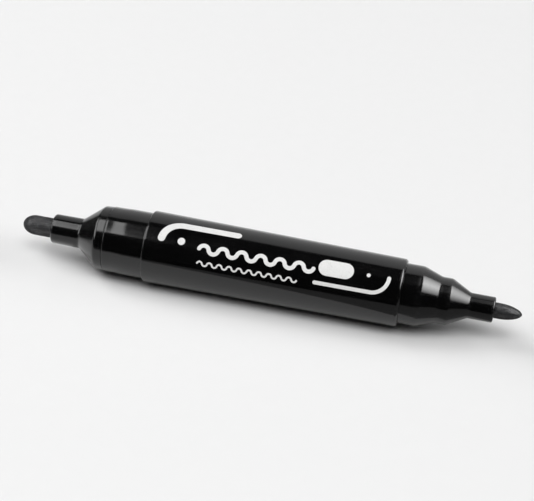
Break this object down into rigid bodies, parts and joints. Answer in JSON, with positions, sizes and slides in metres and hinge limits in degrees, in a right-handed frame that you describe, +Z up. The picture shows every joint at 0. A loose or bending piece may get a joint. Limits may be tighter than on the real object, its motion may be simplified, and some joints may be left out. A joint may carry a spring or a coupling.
{
  "type": "double-ended marker",
  "caption": "Double-ended marker lying down: tapered round barrel, bullet bold nib and pointed fine nib in plug-in holders over a fibre ink core, with pull-off caps in line.",
  "frame": {"origin": "middle of the box around the marker and its two laid-out caps, on the surface they lie on", "axes": "+X along the marker towards its fine nib, +Z up, -Y towards the viewer of the picture"},
  "size_m": [0.2284, 0.017, 0.017],
  "materials": {
    "barrel_plastic": "glossy black moulded plastic",
    "holder_plastic": "glossy black moulded plastic",
    "cap_plastic": "glossy black moulded plastic",
    "nib_felt": "ink-soaked pressed felt",
    "reservoir_fibre": "ink-soaked fibre bundle",
    "film_plastic": "thin pale plastic film",
    "seal_plastic": "soft natural white plastic",
    "white_print": "white printing ink"
  },
  "bodies": {
    "marker": {"barrel": "barrel_plastic", "bold_nib_holder": "holder_plastic", "fine_nib_holder": "holder_plastic", "bold_nib": "nib_felt", "fine_nib": "nib_felt", "ink_reservoir": "reservoir_fibre", "reservoir_film": "film_plastic"},
    "bold_cap": {"bold_cap": "cap_plastic", "bold_cap_inner_seal": "seal_plastic"},
    "fine_cap": {"fine_cap": "cap_plastic", "fine_cap_inner_seal": "seal_plastic"}
  },
  "joints": [
    {"name": "bold_cap_slide", "type": "slide", "parent": "marker", "child": "bold_cap", "axis": [1, 0, 0], "range_m": [0, 0.0551]},
    {"name": "fine_cap_slide", "type": "slide", "parent": "marker", "child": "fine_cap", "axis": [-1, 0, 0], "range_m": [0, 0.04635]}
  ]
}
